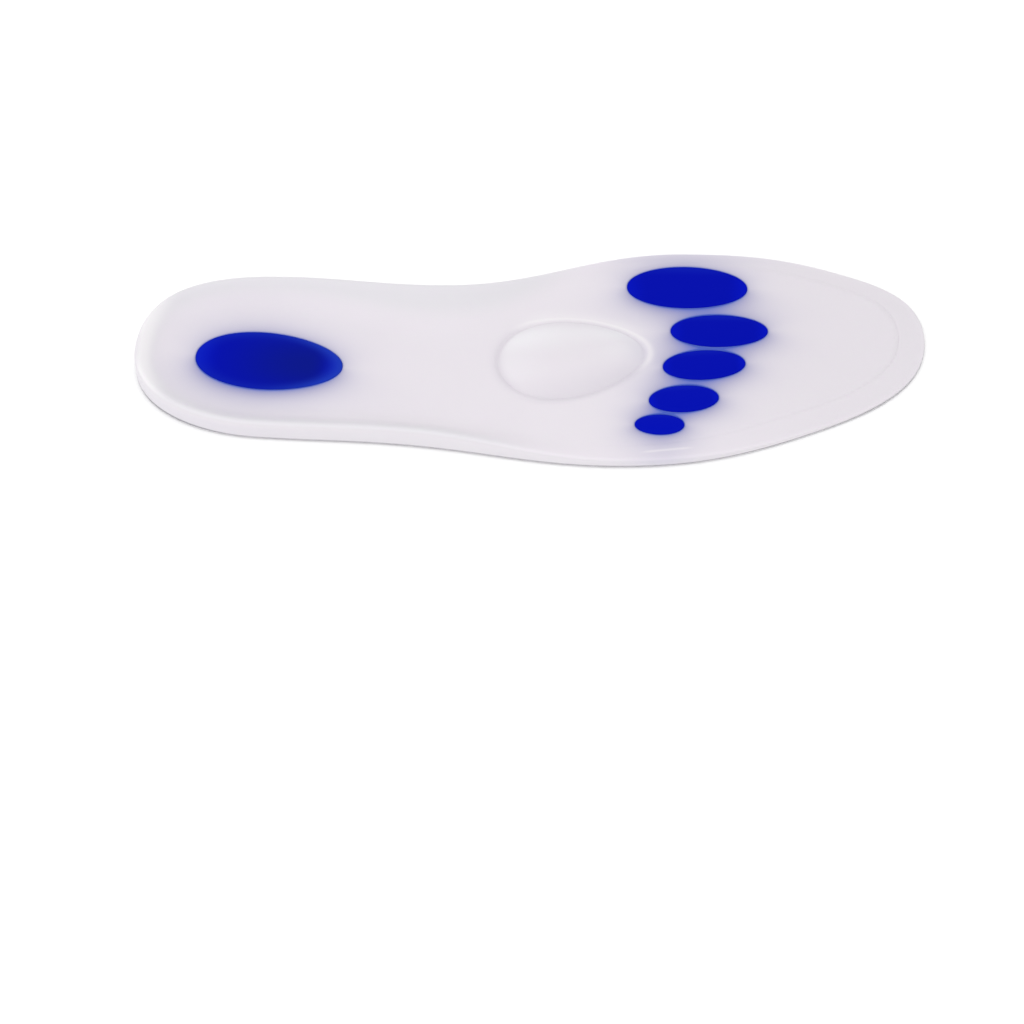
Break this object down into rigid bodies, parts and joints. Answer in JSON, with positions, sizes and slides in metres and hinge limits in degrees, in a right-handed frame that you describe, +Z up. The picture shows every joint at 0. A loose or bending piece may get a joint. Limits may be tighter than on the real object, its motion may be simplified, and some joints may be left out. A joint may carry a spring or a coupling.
{
  "type": "silicone shoe insole",
  "caption": "Full-length moulded silicone insole for a right shoe, with a raised heel cup and arch edge, a low dome behind the ball of the foot and softer oval inserts at heel and forefoot.",
  "frame": {"origin": "middle of the insole's length and width, on the flat underside", "axes": "+X along the foot to the toes, +Y across to the arch side, +Z up from the underside"},
  "size_m": [0.265, 0.0914, 0.0096],
  "materials": {
    "silicone": "satin, pale and slightly translucent",
    "soft_silicone": "satin, deep blue"
  },
  "bodies": {
    "root": {"insole_body": "silicone", "heel_insert": "soft_silicone", "metatarsal_insert_1": "soft_silicone", "metatarsal_insert_2": "soft_silicone", "metatarsal_insert_3": "soft_silicone", "metatarsal_insert_4": "soft_silicone", "metatarsal_insert_5": "soft_silicone"}
  },
  "joints": []
}
